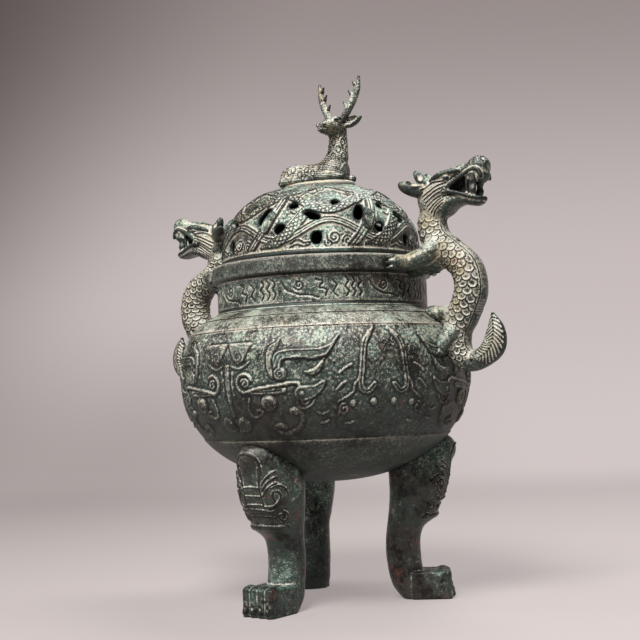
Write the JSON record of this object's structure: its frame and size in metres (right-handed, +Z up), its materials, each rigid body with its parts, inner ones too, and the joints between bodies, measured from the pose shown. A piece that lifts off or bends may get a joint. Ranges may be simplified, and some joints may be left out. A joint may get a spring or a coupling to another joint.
{
  "type": "tripod censer",
  "caption": "Round-bellied bronze incense burner on beast legs, with dragon handles and a pierced domed lid lifted by a lying stag.",
  "frame": {"origin": "on the floor under the vessel's axis", "axes": "+Z up along the vessel's axis, +X to the right handle, -Y to the front leg"},
  "size_m": [0.2778, 0.2009, 0.3577],
  "materials": {
    "bowl_bronze": "dark green patina",
    "leg_bronze": "dark green patina",
    "handle_bronze": "tan and green patina",
    "lid_bronze": "dark green patina",
    "finial_bronze": "tan and green patina",
    "rivet_bronze": "brown patina"
  },
  "bodies": {
    "vessel": {"bowl": "bowl_bronze", "leg_front": "leg_bronze", "leg_back_right": "leg_bronze", "leg_back_left": "leg_bronze", "leg_rivet_front": "rivet_bronze", "leg_rivet_back_right": "rivet_bronze", "leg_rivet_back_left": "rivet_bronze", "handle_right": "handle_bronze", "handle_left": "handle_bronze", "handle_rivet_upper_right": "rivet_bronze", "handle_rivet_upper_left": "rivet_bronze", "handle_rivet_lower_right": "rivet_bronze", "handle_rivet_lower_left": "rivet_bronze"},
    "lid": {"lid": "lid_bronze", "lid_locating_ring": "lid_bronze", "finial_plinth": "finial_bronze", "stag": "finial_bronze", "antler_right": "finial_bronze", "antler_left": "finial_bronze", "finial_rivet": "rivet_bronze"}
  },
  "joints": [
    {"name": "lid_lift", "type": "slide", "parent": "vessel", "child": "lid", "axis": [0, 0, 1], "range_m": [0, 0.1]}
  ]
}
